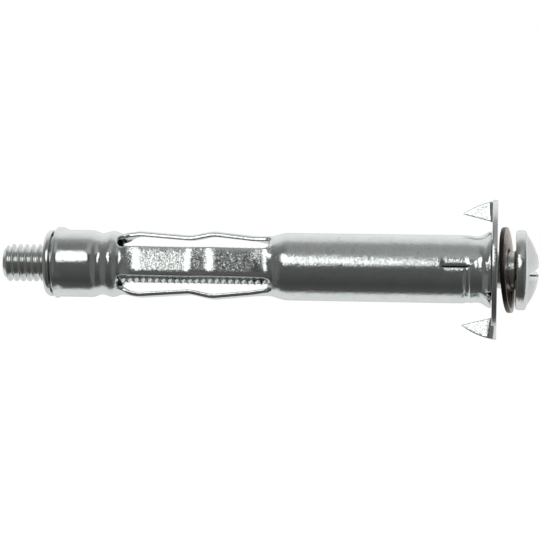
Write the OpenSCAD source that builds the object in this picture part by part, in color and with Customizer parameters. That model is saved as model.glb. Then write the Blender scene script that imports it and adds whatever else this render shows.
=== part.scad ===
// Hollow wall anchor before it is set: a slotted sheet sleeve with four bent legs,
// a flange plate with two spurs, a nut crimped in the far end, a pan head screw and
// a loose washer. X runs along the anchor with the screw's head at +X, Z is up, and
// X = 0 is the face of the wall that the plate lies on. Millimetres.

/* [Screw] */
// Outside diameter of the thread and shank
thread_d = 3.9; // [3.2:0.1:4.2]
// Pitch of the thread
thread_pitch = 0.7; // [0.5:0.05:0.8]
// Depth of the thread
thread_depth = 0.37; // [0.2:0.01:0.4]
// Angle between the thread's flanks, degrees
thread_angle = 60; // [50:1:60]
// Length of plain shank under the head
plain_len = 5.4; // [4:0.1:12]
// Length of thread that stands out past the nut
tail_out = 4.49; // [1:0.1:12]
// Bevel at the tail end
tail_bevel = 0.45; // [0.2:0.05:0.8]
// Diameter of the head
head_d = 8.26; // [7:0.1:9.5]
// Height of the head
head_h = 2.37; // [2:0.05:3.5]
// Height of the head's upright side, below the dome
head_side_h = 1.05; // [0.8:0.05:1.4]
// Rounding of the head's edges
head_round = 0.4; // [0.2:0.05:0.45]
// Width of the driver slot
slot_w = 1.1; // [0.8:0.05:1.4]
// Depth of the driver slot at the crown
slot_depth = 1; // [0.6:0.05:1.4]
// Turn of the slot about the screw's axis, degrees
slot_turn = 14.5; // [-90:0.5:90]
// Width of the cross recess's wings
cross_w = 0.8; // [0.6:0.05:1.2]
// Radius of the cross recess at its floor
cross_floor_r = 0.56; // [0.45:0.01:0.8]
// Reach of the cross recess from the axis at the crown
cross_reach = 2; // [1.5:0.1:2.6]
// Depth of the cross recess
cross_depth = 1.5; // [1:0.05:1.7]

/* [Sleeve] */
// Thickness of the sheet
sheet_t = 0.42; // [0.3:0.02:0.5]
// Length of tube from the wall face to the slots
tube_len = 22.97; // [14:0.1:40]
// Length of the shoulder between the tube and the slots
shoulder_len = 2; // [1.2:0.1:3]
// Length of the ring between the slots and the crimp
ring_len = 1.56; // [1.2:0.02:2.5]
// Length of the ring's fall to the leg roots
ring_fall = 0.41; // [0.3:0.01:0.5]
// Depth of the crimp behind the nut
crimp_depth = 0.35; // [0.2:0.01:0.5]
// Length of the slope from the nut seat to the crimp
crimp_run = 0.83; // [0.6:0.01:1.2]
// How far the flared end stands out over the tube
flare_out = 0.45; // [0.3:0.01:0.6]
// Length of the flared end
flare_len = 1.25; // [1:0.05:1.8]
// Length of the flared end's rounded lip
flare_lip = 0.3; // [0.2:0.02:0.4]
// Length of the waist next to the flared end
waist_len = 1.2; // [0.8:0.05:1.3]
// Depth of the waist next to the flared end
waist_depth = 0.17; // [0.05:0.01:0.25]
// Height of the three bulges over the nut's ribs
bulge_h = 0.24; // [0.1:0.01:0.27]
// Radius of those bulges
bulge_r = 1.3; // [1:0.05:1.6]
// Distance of a bulge's middle from the sleeve's end
bulge_in = 0.45; // [0.2:0.05:0.8]
// Turn of the first bulge below the near side, degrees
bulge_turn = 27.5; // [0:0.5:60]

/* [Legs] */
// Length of the slots between the legs
leg_len = 15.97; // [14:0.1:24]
// How far the slots lie nearer to the plate than the bends at the legs' ends
slot_in = 0.4; // [0:0.05:0.5]
// Width of a leg
leg_w = 3.1; // [2.6:0.05:3.4]
// Half the width of a leg's flat middle
flat_half_w = 0.95; // [0.6:0.05:1.1]
// Turn of a leg's edges from its flat middle, degrees
edge_turn = 16; // [8:0.5:20]
// Turn of the legs about the axis, degrees
leg_roll = -7; // [-45:0.5:45]
// Depth of a leg's face under the tube's radius at its far root
far_root_drop = 0.34; // [0.25:0.01:0.45]
// Depth of a leg's face at the far crest
far_crest_drop = 0; // [-0.1:0.01:0.1]
// Distance of the far crest from the slots' far ends
far_crest_at = 2.3; // [2:0.05:3]
// Depth of a leg's face in the valley
valley_drop = 0.4; // [0.3:0.01:0.5]
// Distance of the valley from the slots' far ends
valley_at = 7.3; // [6:0.05:8]
// Height of a leg's face over the tube's radius at the near crest
near_crest_rise = 0.08; // [-0.05:0.01:0.1]
// Distance of the near crest from the slots' far ends
near_crest_at = 10.2; // [9.5:0.05:11.5]
// Depth of a leg's face at its root on the tube
near_root_drop = 0.52; // [0.4:0.01:0.6]
// Length of a leg's level root at the far ring
far_root_run = 0.7; // [0.4:0.05:0.9]
// Length of a leg's level root at the tube
near_root_run = 0.4; // [0.2:0.05:0.9]
// How far the round sleeve stands over a leg's face at its roots
root_rise = 0.14; // [0.08:0.01:0.2]

/* [Lock cut] */
// Width of the cut in the tube that locks the plate's collar
lock_w = 0.32; // [0.2:0.02:0.5]
// Distance of the cut's round run from the wall face
lock_at = 2.5; // [2.4:0.05:4]
// Length of the cut's straight run
lock_len = 2.7; // [1:0.1:4]
// Angle of the straight run above the near side, degrees
lock_up = 3; // [0:0.5:20]
// Angle that the round run sweeps, degrees
lock_sweep = 100; // [40:1:160]
// Width of the open seam at the flared end
seam_w = 1.3; // [0.6:0.05:1.8]
// Length of the open seam
seam_len = 1.1; // [0.6:0.05:1.3]
// Angle of the seam below the near side, degrees
seam_down = 40; // [20:1:60]

/* [Flange plate] */
// Diameter of the plate
plate_d = 14.34; // [13:0.1:18]
// Thickness of the plate
plate_t = 0.54; // [0.45:0.02:0.7]
// Length of the collar inside the tube
collar_len = 2.2; // [1.6:0.05:2.5]
// Depth of the ring that the flared end is seated in
seat_depth = 0.12; // [0.06:0.02:0.2]
// Rounding between the collar and the plate
collar_round = 0.35; // [0.2:0.05:0.5]
// Bevel at the mouth of the collar's bore
mouth_bevel = 0.35; // [0.2:0.05:0.4]

/* [Spurs] */
// Reach of a spur behind the wall face
spur_len = 3.1; // [2:0.1:4]
// Distance of a spur's inner corner from the flared end
spur_root_out = 0.75; // [0.5:0.05:1]
// Distance of a spur's point past its inner corner
spur_tip_out = 0.96; // [0.6:0.02:1.2]
// Width of a spur's point
spur_point_w = 0.06; // [0.04:0.01:0.2]
// Inside radius of the bend
spur_bend_r = 0.35; // [0.2:0.05:0.5]

/* [Nut] */
// Wall of the nut's barrel round its thread, which sets the size of the sleeve round it
nut_wall = 1.07; // [0.85:0.01:1.6]
// Length of the nut's barrel inside the sleeve
barrel_len = 4.16; // [3:0.05:6]
// Length of the nut's collar outside the sleeve
nut_collar_len = 0.85; // [0.65:0.01:2]
// Depth of the nut's collar under the tube's radius
nut_collar_drop = 0.04; // [0:0.02:0.2]
// Length of the collar's rounded taper
nut_taper_len = 0.55; // [0.3:0.05:0.6]
// Bevel at the mouth of the nut's thread
nut_bevel = 0.2; // [0.1:0.05:0.4]
// Width of the nut's flat end face round that bevel
nut_face_w = 0.11; // [0.05:0.01:0.4]

/* [Washer] */
// Outside diameter of the washer
washer_d = 8.8; // [8.4:0.1:10]
// Thickness of the washer
washer_t = 0.55; // [0.4:0.05:0.8]
// Tilt of the washer's top towards the plate, degrees
washer_pitch = 3.9; // [0:0.1:5]
// Tilt of the washer's near edge towards the plate, degrees
washer_yaw = 7.2; // [0:0.1:8]

/* [Fits] */
// Gap round the screw in the nut
screw_gap = 0.04; // [0.02:0.01:0.08]
// Gap round the screw in the plate's collar
collar_gap = 0.3; // [0.2:0.05:0.4]
// Gap round the shank in the washer's hole
washer_gap = 0.2; // [0.15:0.01:0.3]
// Gap between pieces that are pressed or crimped together
press_gap = 0.02; // [0.01:0.01:0.04]
// Gap between the washer's lowest edge and the plate
rest_gap = 0.12; // [0.08:0.01:0.4]
// Gap between the washer and the underside of the head
lean_gap = 0.06; // [0.04:0.01:0.2]

/* [Hidden] */
$fn = 96;
ZINC = [0.78, 0.80, 0.82];
PLATE_ZINC = [0.74, 0.75, 0.75];
NUT_ZINC = [0.70, 0.72, 0.73];
SCREW_ZINC = [0.72, 0.73, 0.74];
WASHER_STEEL = [0.36, 0.34, 0.33];
LEGS = 4;
BULGES = 3;
// Room past a face, for cuts that go right through
past = 1;
// How far the strips of a leg run into each other
edge_lap = 0.05;
// How far the ends of a leg's flat middle run into the rolled sheet, and how far its edges do
root_lap = 0.32;
edge_root_lap = 0.2;
// How far the sheet between the legs lies under their faces
web_sink = 0.06;
// How far a spur's strip runs into the plate
spur_lap = 0.4;
// Distance over which the bends of the rolled sheet and of the legs are eased
sheet_ease = 0.25;
leg_ease = 0.3;
// How far the cross recess's cutter stands over the crown
cross_over = 0.01;
// Straight steps in a rounded edge, in a slot's end, in the dome and along a spur's rim
edge_steps = 6;
slot_steps = 10;
dome_steps = 15;
rim_steps = 8;

thread_r = thread_d / 2;
// The sleeve's radius follows from the screw, the nut on it and the sheet round the nut
nut_bore_r = thread_r + screw_gap;
barrel_r = nut_bore_r + nut_wall;
tube_r = barrel_r + press_gap + sheet_t;
head_r = head_d / 2;
plate_r = plate_d / 2;

// Radii of the sleeve and heights of a leg's face, all from the tube's own radius
crimp_r = tube_r - crimp_depth;
flare_r = tube_r + flare_out;
far_root_r = tube_r - far_root_drop;
far_crest_r = tube_r - far_crest_drop;
valley_r = tube_r - valley_drop;
near_crest_r = tube_r + near_crest_rise;
near_root_r = tube_r - near_root_drop;
spur_root_r = flare_r + spur_root_out;
spur_tip_r = spur_root_r + spur_tip_out;

// Places along X of the sleeve, from the tube's slots to its far end
near_slot_x = -tube_len;
far_slot_x = near_slot_x - leg_len;
crimp_x = far_slot_x - ring_len;
barrel_in_x = crimp_x - crimp_run;
sleeve_end_x = barrel_in_x - barrel_len;
nut_end_x = sleeve_end_x - nut_collar_len;
tail_x = nut_end_x - tail_out;

// The washer leans from the plate to the flat of the head's underside
washer_tilt = acos(cos(washer_pitch) * cos(washer_yaw));
washer_r = washer_d / 2;
washer_half = washer_t / 2 * cos(washer_tilt);
washer_x = plate_t + rest_gap + washer_r * sin(washer_tilt) + washer_half;
head_flat_r = head_r - head_round;
head_x = washer_x + head_flat_r * sin(washer_tilt) + washer_half + lean_gap;

// Turns of the thread between the tail's bevel and the plain shank
thread_flank = thread_depth * tan(thread_angle / 2);
thread_crest = thread_pitch / 2 - thread_flank;
thread_start_x = tail_x + tail_bevel;
thread_turns = floor((head_x - plain_len - thread_start_x) / thread_pitch);

// Unit vector along v
function unit(v) = v / norm(v);

// A polyline with each inner corner eased over a set distance
function eased(pts, ease, steps = 3) = [
  pts[0],
  for (i = [1 : len(pts) - 2])
    let (p = pts[i], from = p + ease * unit(pts[i - 1] - p), to = p + ease * unit(pts[i + 1] - p))
      for (s = [0 : steps])
        let (u = s / steps)
          (1 - u) * (1 - u) * from + 2 * u * (1 - u) * p + u * u * to,
  pts[len(pts) - 1]
];

// Points of an arc about [x, y]
function arc(x, y, r, from, to, steps) = [
  for (s = [0 : steps])
    let (a = from + (to - from) * s / steps)
      [x + r * cos(a), y + r * sin(a)]
];

// A line of [X, height] points moved up or down
function lifted(pts, by) = [for (p = pts) [p[0], p[1] + by]];

// A line of points in the other direction
function backwards(pts) = [for (i = [len(pts) - 1 : -1 : 0]) pts[i]];

// Radius of a slot's round ends, from the width that the legs leave between them
slot_r = tube_r * sin(180 / LEGS - asin(leg_w / 2 / tube_r));

// Face of a leg along X: root, crest, valley, crest, root, run into the rolled sheet at both ends
function leg_line(lap) = eased([
  [far_slot_x - lap, far_root_r],
  [far_slot_x + far_root_run, far_root_r],
  [far_slot_x + far_crest_at, far_crest_r],
  [far_slot_x + valley_at, valley_r],
  [far_slot_x + near_crest_at, near_crest_r],
  [near_slot_x - near_root_run, near_root_r],
  [near_slot_x + lap, near_root_r]
], leg_ease);

// Radius of the sheet between the legs where a slot's round end runs out, just under their faces
far_web_r = far_root_r - web_sink
  + (far_crest_r - far_root_r) * (slot_in + slot_r - far_root_run) / (far_crest_at - far_root_run);
near_web_r = near_root_r - web_sink
  + (near_crest_r - near_root_r) * (slot_r - slot_in - near_root_run)
  / (leg_len - near_crest_at - near_root_run);

// Outside of the far ring from the nut seat to the leg roots, as [X, radius]
far_line = [
  [sleeve_end_x, tube_r],
  [barrel_in_x, tube_r],
  [crimp_x, crimp_r],
  [far_slot_x - ring_fall, tube_r],
  [far_slot_x, far_root_r + root_rise],
  [far_slot_x + slot_in + slot_r, far_web_r]
];

// Outside of the tube from the leg roots to the plate, as [X, radius]
tube_line = [
  [near_slot_x + slot_in - slot_r, near_web_r],
  [near_slot_x, near_root_r + root_rise],
  [near_slot_x + shoulder_len, tube_r],
  [-flare_len - waist_len, tube_r],
  [-flare_len, tube_r - waist_depth],
  [-flare_lip, flare_r],
  [seat_depth, flare_r - flare_lip / 3]
];

// Lays a shape that stands on Z along X
module along_x() {
  rotate([0, 90, 0])
    children();
}

// Turns an outline of [X, radius] points about X
module turned(pts) {
  along_x()
    rotate_extrude()
      polygon([for (p = pts) [p[1], p[0]]]);
}

// Extrudes an outline of [X, height] points to a width across Y, above the axis
module strip(pts, w) {
  rotate([90, 0, 0])
    linear_extrude(w, center = true)
      polygon(pts);
}

// Repeats a shape that is drawn above the axis round X
module round_x(count, first) {
  for (i = [0 : count - 1])
    rotate([first + i * 360 / count, 0, 0])
      children();
}

// A stretch of rolled sheet, turned from the line of its outside
module rolled(outside) {
  turned(concat(outside, backwards(lifted(outside, -sheet_t))));
}

// One slot with round ends, cut down from above the axis
module leg_slot() {
  linear_extrude(tube_r + past)
    polygon(concat(
      arc(far_slot_x + slot_in + slot_r, 0, slot_r, 90, 270, slot_steps),
      arc(near_slot_x + slot_in - slot_r, 0, slot_r, -90, 90, slot_steps)
    ));
}

// A strip of sheet along a leg, between two distances across its width
module leg_strip(line, from, to) {
  translate([0, (from + to) / 2, 0])
    strip(concat(line, backwards(lifted(line, -sheet_t))), to - from);
}

// One bent leg above the axis: a flat middle and two edges that are turned down a little
module leg() {
  edge_drop = near_crest_r * (1 - cos(edge_turn)) - flat_half_w * sin(edge_turn);
  edge_line = lifted(leg_line(edge_root_lap), -edge_drop);
  fold = near_crest_r * sin(edge_turn) - flat_half_w * cos(edge_turn);
  edge_w = (leg_w / 2 - flat_half_w) / cos(edge_turn);
  leg_strip(leg_line(root_lap), -flat_half_w - edge_lap, flat_half_w + edge_lap);
  for (side = [-1, 1])
    rotate([-side * edge_turn, 0, 0])
      leg_strip(edge_line, min(side * (edge_lap - fold), side * (edge_w - fold)),
        max(side * (edge_lap - fold), side * (edge_w - fold)));
}

// A round bulge on the sleeve's end, over a rib of the nut
module bulge() {
  translate([sleeve_end_x + bulge_in, 0, tube_r + bulge_h - bulge_r])
    sphere(bulge_r);
}

// The cut that locks the plate's collar: a straight run and a round run
module lock_cut() {
  depth = tube_r + past;
  rotate([90 - lock_up, 0, 0])
    translate([-lock_at - lock_len, -lock_w / 2, 0])
      cube([lock_len + lock_w / 2, lock_w, depth]);
  rotate([90 - lock_up, 0, 0])
    translate([-lock_at, 0, 0])
      along_x()
        rotate([0, 0, 180])
          rotate_extrude(angle = lock_sweep)
            translate([tube_r - sheet_t - past / 2, -lock_w / 2])
              square([past, lock_w]);
}

// The open seam in the flared end, a V that widens to the plate
module seam_cut() {
  rotate([90 + seam_down, 0, 0])
    linear_extrude(flare_r + past)
      polygon([[-seam_len, 0], [past, -seam_w], [past, seam_w]]);
}

module sleeve() {
  color(ZINC) {
    difference() {
      union() {
        rolled(eased(far_line, sheet_ease));
        rolled(eased(tube_line, sheet_ease));
      }
      round_x(LEGS, leg_roll + 180 / LEGS)
        leg_slot();
      lock_cut();
      seam_cut();
    }
    round_x(LEGS, leg_roll)
      leg();
    difference() {
      round_x(BULGES, 90 + bulge_turn)
        bulge();
      along_x()
        translate([0, 0, sleeve_end_x - past])
          cylinder(r = tube_r - sheet_t, h = barrel_len);
      translate([sleeve_end_x - 2 * past, -plate_r, -plate_r])
        cube([2 * past, plate_d, plate_d]);
    }
  }
}

// The tab of a spur before it is bent reaches this far past the bend's start
spur_arc = (spur_bend_r + plate_t / 2) * PI / 2;
spur_flat = spur_len - spur_bend_r;
tip_out = sqrt(plate_r * plate_r - spur_tip_r * spur_tip_r);
// Where the bend starts, so that the point of the flat tab lay on the plate's rim
bend_y = tip_out - spur_arc - spur_flat;
// Outer face of a bent spur, which the plate is cleared out to
spur_face_y = bend_y + spur_bend_r + plate_t;

// The plate's missing corner that a spur was bent out of, in Y and Z
module spur_notch() {
  slope = (spur_tip_r - spur_root_r) / (tip_out - spur_face_y);
  rotate([90, 0, 90])
    linear_extrude(4 * plate_t, center = true)
      polygon([
        [bend_y, spur_root_r],
        [spur_face_y, spur_root_r],
        [tip_out + past, spur_tip_r + past * slope],
        [tip_out + past, plate_r + past],
        [bend_y, plate_r + past]
      ]);
}

// A strip of plate that comes from -Y and bends to -X, cut to a spur's outline
module spur() {
  outer_r = spur_bend_r + plate_t;
  intersection() {
    linear_extrude(plate_r)
      union() {
        translate([-spur_len, spur_face_y - plate_t])
          square([spur_flat, plate_t]);
        translate([-spur_bend_r, bend_y])
          intersection() {
            difference() {
              circle(outer_r);
              circle(spur_bend_r);
            }
            square([outer_r, outer_r]);
          }
        translate([0, bend_y - spur_lap])
          square([plate_t, spur_lap]);
      }
    rotate([90, 0, 0])
      linear_extrude(4 * plate_r, center = true)
        polygon(concat(
          [
            [-spur_len, spur_tip_r - spur_point_w],
            [-spur_bend_r, spur_root_r],
            [plate_t + past, spur_root_r],
            [plate_t + past, plate_r]
          ],
          [
            for (i = [0 : rim_steps])
              let (out = tip_out * i / rim_steps, bent = max(0, out - bend_y - spur_arc))
                [-spur_bend_r * min(1, i) - bent, sqrt(plate_r * plate_r - out * out)]
          ]
        ));
    along_x()
      cylinder(r = plate_r, h = 4 * spur_len, center = true);
  }
}

module flange_plate() {
  collar_r = tube_r - waist_depth - sheet_t - press_gap;
  bore_r = thread_r + collar_gap;
  seat_r = flare_r + press_gap;
  color(PLATE_ZINC) {
    difference() {
      turned(concat(
        [[-collar_len, bore_r], [-collar_len, collar_r]],
        arc(seat_depth - collar_round, collar_r + collar_round, collar_round, 270, 360, edge_steps),
        [
          [seat_depth, seat_r],
          [0, seat_r],
          [0, plate_r],
          [plate_t, plate_r],
          [plate_t, bore_r + mouth_bevel],
          [plate_t - mouth_bevel, bore_r]
        ]
      ));
      round_x(2, 0)
        spur_notch();
    }
    round_x(2, 0)
      spur();
  }
}

module nut() {
  collar_r = tube_r - nut_collar_drop;
  taper = collar_r - nut_bore_r - nut_bevel - nut_face_w;
  color(NUT_ZINC)
    turned(concat(
      [
        [barrel_in_x, nut_bore_r],
        [barrel_in_x, barrel_r],
        [sleeve_end_x, barrel_r],
        [sleeve_end_x, collar_r]
      ],
      [
        for (i = [0 : edge_steps])
          let (a = 90 * i / edge_steps)
            [nut_end_x + nut_taper_len * (1 - sin(a)), collar_r - taper * (1 - cos(a))]
      ],
      [
        [nut_end_x, nut_bore_r + nut_bevel],
        [nut_end_x + nut_bevel, nut_bore_r]
      ]
    ));
}

// The head's turned blank, its dome running into the rounded side
module head_blank() {
  crown_x = head_x + head_h;
  dome_h = head_h - head_side_h;
  dome_r = (head_flat_r * head_flat_r + dome_h * dome_h) / (2 * dome_h);
  edge_a = acos(head_flat_r / dome_r);
  turned(concat(
    [[head_x, 0]],
    [for (p = arc(head_round, head_flat_r, head_round, 180, 90, edge_steps)) [head_x + p[0], p[1]]],
    [
      for (p = arc(-head_round, head_flat_r, head_round, 90, 90 - edge_a, edge_steps))
        [head_x + head_side_h + p[0], p[1]]
    ],
    [
      for (i = [1 : dome_steps])
        let (a = edge_a + (90 - edge_a) * i / dome_steps)
          [crown_x - dome_r + dome_r * sin(a), max(0, dome_r * cos(a))]
    ]
  ));
}

// The driver slot and the cross recess, cut in from the crown
module driver_recess() {
  crown_x = head_x + head_h;
  rotate([slot_turn, 0, 0])
    translate([crown_x - slot_depth, -head_r - past, -slot_w / 2])
      cube([head_h, head_d + 2 * past, slot_w]);
  rotate([slot_turn, 0, 0])
    intersection() {
      translate([crown_x - cross_depth, 0, 0])
        along_x()
          cylinder(r1 = cross_floor_r, r2 = cross_reach, h = cross_depth + cross_over);
      union() {
        translate([crown_x - cross_depth, -cross_reach, -cross_w / 2])
          cube([head_h, 2 * cross_reach, cross_w]);
        translate([crown_x - cross_depth, -cross_w / 2, -cross_reach])
          cube([head_h, cross_w, 2 * cross_reach]);
      }
    }
}

// The shank with its thread, each turn a ring of the thread's own section
module threaded_shank() {
  turned(concat(
    [[tail_x, 0], [tail_x, thread_r - tail_bevel]],
    [
      for (i = [0 : thread_turns - 1], at = [
        [0, 0],
        [thread_crest, 0],
        [thread_crest + thread_flank, thread_depth],
        [thread_pitch - thread_flank, thread_depth]
      ])
        [thread_start_x + i * thread_pitch + at[0], thread_r - at[1]]
    ],
    [
      [thread_start_x + thread_turns * thread_pitch, thread_r],
      [head_x + head_round, thread_r],
      [head_x + head_round, 0]
    ]
  ));
}

module screw() {
  color(SCREW_ZINC)
    difference() {
      union() {
        threaded_shank();
        head_blank();
      }
      driver_recess();
    }
}

module washer() {
  color(WASHER_STEEL)
    translate([washer_x, 0, 0])
      rotate([0, -washer_pitch, -washer_yaw])
        along_x()
          difference() {
            cylinder(r = washer_r, h = washer_t, center = true);
            cylinder(r = thread_r + washer_gap, h = washer_t + past, center = true);
          }
}

sleeve();
flange_plate();
nut();
screw();
washer();
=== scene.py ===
import math

import bpy
import bmesh
import numpy as np
from mathutils import Matrix, Vector
from mathutils.geometry import delaunay_2d_cdt


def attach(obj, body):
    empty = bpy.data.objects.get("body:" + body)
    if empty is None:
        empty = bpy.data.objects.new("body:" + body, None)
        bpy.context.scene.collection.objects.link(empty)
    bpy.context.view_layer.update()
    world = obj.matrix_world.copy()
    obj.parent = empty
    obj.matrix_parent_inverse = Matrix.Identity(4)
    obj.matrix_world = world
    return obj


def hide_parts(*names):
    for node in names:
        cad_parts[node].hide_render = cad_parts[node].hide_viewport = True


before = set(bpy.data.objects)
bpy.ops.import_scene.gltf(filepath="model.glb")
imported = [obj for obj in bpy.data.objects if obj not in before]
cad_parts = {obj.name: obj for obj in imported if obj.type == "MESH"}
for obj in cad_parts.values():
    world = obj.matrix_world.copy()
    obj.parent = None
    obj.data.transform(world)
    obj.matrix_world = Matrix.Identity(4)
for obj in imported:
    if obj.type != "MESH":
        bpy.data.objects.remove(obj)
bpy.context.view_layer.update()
scene = bpy.context.scene
MM = 0.001

# Sizes in millimetres, from the solids. X runs along the anchor and the head is at +X.
# Angles about X go from the near side (-Y) towards up (+Z).
TUBE_R = 3.5
SHEET_T = 0.42
NEAR_SLOT_X = -22.97
FAR_SLOT_X = -38.94
CRIMP_X = -40.50
BARREL_IN_X = -41.33
SLEEVE_END_X = -45.49
NUT_END_X = -46.34
TAIL_X = -50.83
LEG_ROLL = math.radians(7)
LEG_WIDE = 3.1
PLATE_T = 0.54
# a hair under the solid's, to stay inside its facets
PLATE_R = 7.165
THREAD_R = 1.95
PITCH = 0.7
HEAD_X = 2.42
CROWN_X = 4.79
HEAD_R = 4.13


# Mesh tools

def smooth(t):
    t = np.clip(t, 0.0, 1.0)
    return t * t * (3 - 2 * t)


def ramp(x, a, b):
    """0 before a, 1 after b, smooth between."""
    return smooth((np.asarray(x, float) - a) / (b - a))


def falling(x, a, b):
    """1 before a, 0 after b, smooth between."""
    return ramp(-x, -b, -a)


def corner(before, at, after, ease, steps):
    """Points that ease the corner of a line over a distance to each side of it."""
    a = at + ease * (before - at) / np.linalg.norm(before - at)
    b = at + ease * (after - at) / np.linalg.norm(after - at)
    shares = [s / steps for s in range(steps + 1)]
    return [(1 - u) ** 2 * a + 2 * u * (1 - u) * at + u * u * b for u in shares]


def eased(points, ease, steps=8):
    """A polyline with its inner corners eased, each over its own distance."""
    pts = [np.array(p, float) for p in points]
    out = [pts[0]]
    for before, at, after, over in zip(pts, pts[1:], pts[2:], ease):
        out += corner(before, at, after, over, steps)
    out.append(pts[-1])
    return np.array(out)


def rounded(points, radii, steps=5):
    """A closed outline with each corner rounded over its own distance."""
    pts = [np.array(p, float) for p in points]
    out = []
    for i, (at, over) in enumerate(zip(pts, radii)):
        if over > 0:
            out += corner(pts[i - 1], at, pts[(i + 1) % len(pts)], over, steps)
        else:
            out.append(at)
    return np.array(out)


def dense(line, step, closed=True):
    """A polyline with points no further apart than step."""
    out = []
    n = len(line)
    for i in range(n if closed else n - 1):
        a, b = line[i], line[(i + 1) % n]
        k = max(1, int(math.ceil(np.linalg.norm(b - a) / step)))
        out += [a + (b - a) * s / k for s in range(k)]
    if not closed:
        out.append(line[-1])
    return np.array(out)


# Distances in metres under which points merge and edges vanish
MERGE = 2e-7
VANISH = 1e-7
# The angle in degrees over which edges of the turned pieces stay sharp
SHARP = 50


def new_object(name, verts, faces, material, sharp=None):
    """A smooth-shaded mesh with its doubles merged. Edges over the angle sharp, in degrees, stay sharp."""
    mesh = bpy.data.meshes.new(name)
    mesh.from_pydata([tuple(v) for v in verts], [], [tuple(int(i) for i in f) for f in faces])
    bm = bmesh.new()
    bm.from_mesh(mesh)
    bmesh.ops.remove_doubles(bm, verts=bm.verts, dist=MERGE)
    bmesh.ops.dissolve_degenerate(bm, edges=bm.edges, dist=VANISH)
    bmesh.ops.recalc_face_normals(bm, faces=bm.faces)
    for f in bm.faces:
        f.smooth = True
    if sharp is not None:
        for e in bm.edges:
            if len(e.link_faces) == 2 and e.calc_face_angle(0) > math.radians(sharp):
                e.smooth = False
    bm.to_mesh(mesh)
    bm.free()
    obj = bpy.data.objects.new(name, mesh)
    scene.collection.objects.link(obj)
    mesh.materials.append(material)
    return obj


def turned(points, segments, closed=True):
    """Vertices and faces of an outline of [X, radius] points turned about X."""
    pts = np.array(points, float)
    ang = np.arange(segments) * 2 * math.pi / segments
    n = len(pts)
    verts = np.zeros((segments, n, 3))
    verts[:, :, 0] = pts[None, :, 0]
    verts[:, :, 1] = -pts[None, :, 1] * np.cos(ang)[:, None]
    verts[:, :, 2] = pts[None, :, 1] * np.sin(ang)[:, None]
    faces = []
    for i in range(segments):
        j = (i + 1) % segments
        for k in range(n if closed else n - 1):
            m = (k + 1) % n
            faces.append((i * n + k, i * n + m, j * n + m, j * n + k))
    return verts.reshape(-1, 3), faces


def inside(points, loops):
    """Even-odd test of 2D points against closed loops."""
    res = np.zeros(len(points), bool)
    x, y = points[:, 0], points[:, 1]
    for loop in loops:
        for (x0, y0), (x1, y1) in zip(loop, np.roll(loop, -1, axis=0)):
            if y0 != y1:
                res ^= ((y0 > y) != (y1 > y)) & (x < (x1 - x0) * (y - y0) / (y1 - y0) + x0)
    return res


def sideways(line, closed):
    """Unit normals to the right of a 2D line."""
    if closed:
        d = np.roll(line, -1, axis=0) - np.roll(line, 1, axis=0)
    else:
        d = np.gradient(line, axis=0)
    n = np.stack([d[:, 1], -d[:, 0]], axis=1)
    return n / np.maximum(np.linalg.norm(n, axis=1)[:, None], 1e-9)


def hole_rim(loop, edge):
    """A hole's rim: its points moved into the sheet by edge, and the directions towards the hole."""
    x, y = loop[:, 0], loop[:, 1]
    signed = np.sum(x * np.roll(y, -1) - np.roll(x, -1) * y)
    n = sideways(loop, True) * (-1 if signed > 0 else 1)
    return loop - n * edge, n, True


def square_grid(lo, hi, step):
    """Points of a square grid between two corners."""
    x = np.arange(lo[0] + step, hi[0], step)
    y = np.arange(lo[1] + step, hi[1] - step / 2, step)
    gx, gy = np.meshgrid(x, y)
    return np.stack([gx.ravel(), gy.ravel()], axis=1)


# Sections of cut edges, a punched one and a stamped one, as shares of the edge's width outwards and of the
# thickness down
PUNCHED_RIM = ((0.55, 0.12), (0.8, 0.3), (1.0, 0.62), (1.0, 0.93), (0.7, 1.0))
STAMPED_RIM = ((0.5, 0.02), (0.87, 0.06), (1.0, 0.12), (1.0, 0.88), (0.87, 0.94), (0.5, 0.98))
# Grid points keep this far from the points of rims and seams, which are compared a batch at a time
GRID_CLEAR = 0.08
BATCH = 200
FLAT_EPSILON = 1e-6


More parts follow.
